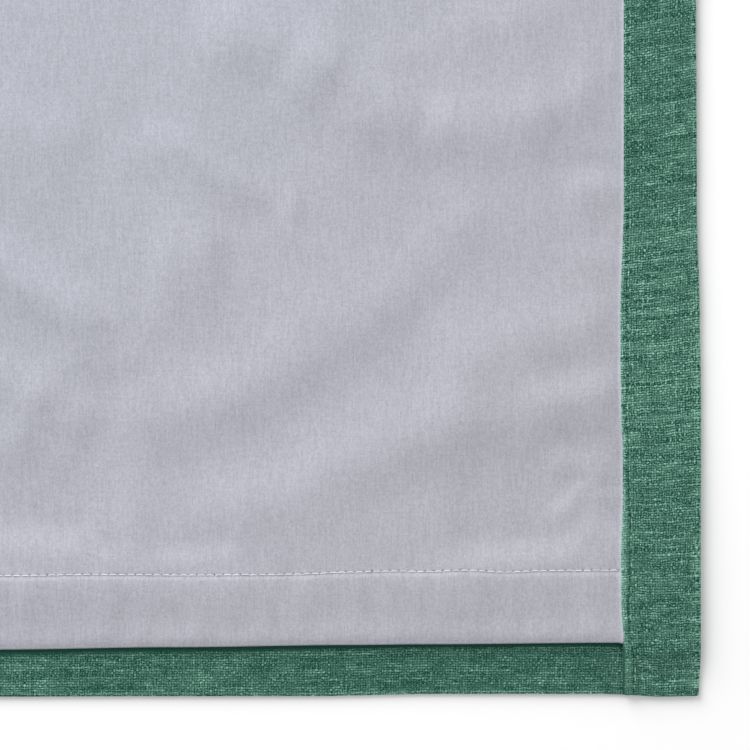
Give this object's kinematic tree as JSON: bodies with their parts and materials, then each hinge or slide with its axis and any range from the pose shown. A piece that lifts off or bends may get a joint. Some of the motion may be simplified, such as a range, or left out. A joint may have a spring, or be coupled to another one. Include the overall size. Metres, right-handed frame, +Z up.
{
  "type": "blackout curtain",
  "caption": "Short lined blackout curtain lying flat, lining up: a slub face cloth turned to the back as hems and heading around a hemmed lining.",
  "frame": {"origin": "middle of the curtain's outline, on its flat underside", "axes": "+Z up, out of the lining; +Y towards the heading; +X across the width, towards the side hem on the right with the lining up"},
  "size_m": [0.8666, 0.9156, 0.0078],
  "materials": {
    "face_cloth": "matt slubby plain weave, green, with light crowns on dark ground",
    "lining": "smooth coated blackout lining, lilac grey, with a faint sheen"
  },
  "bodies": {
    "root": {"face_cloth": "face_cloth", "lining": "lining"}
  },
  "joints": []
}
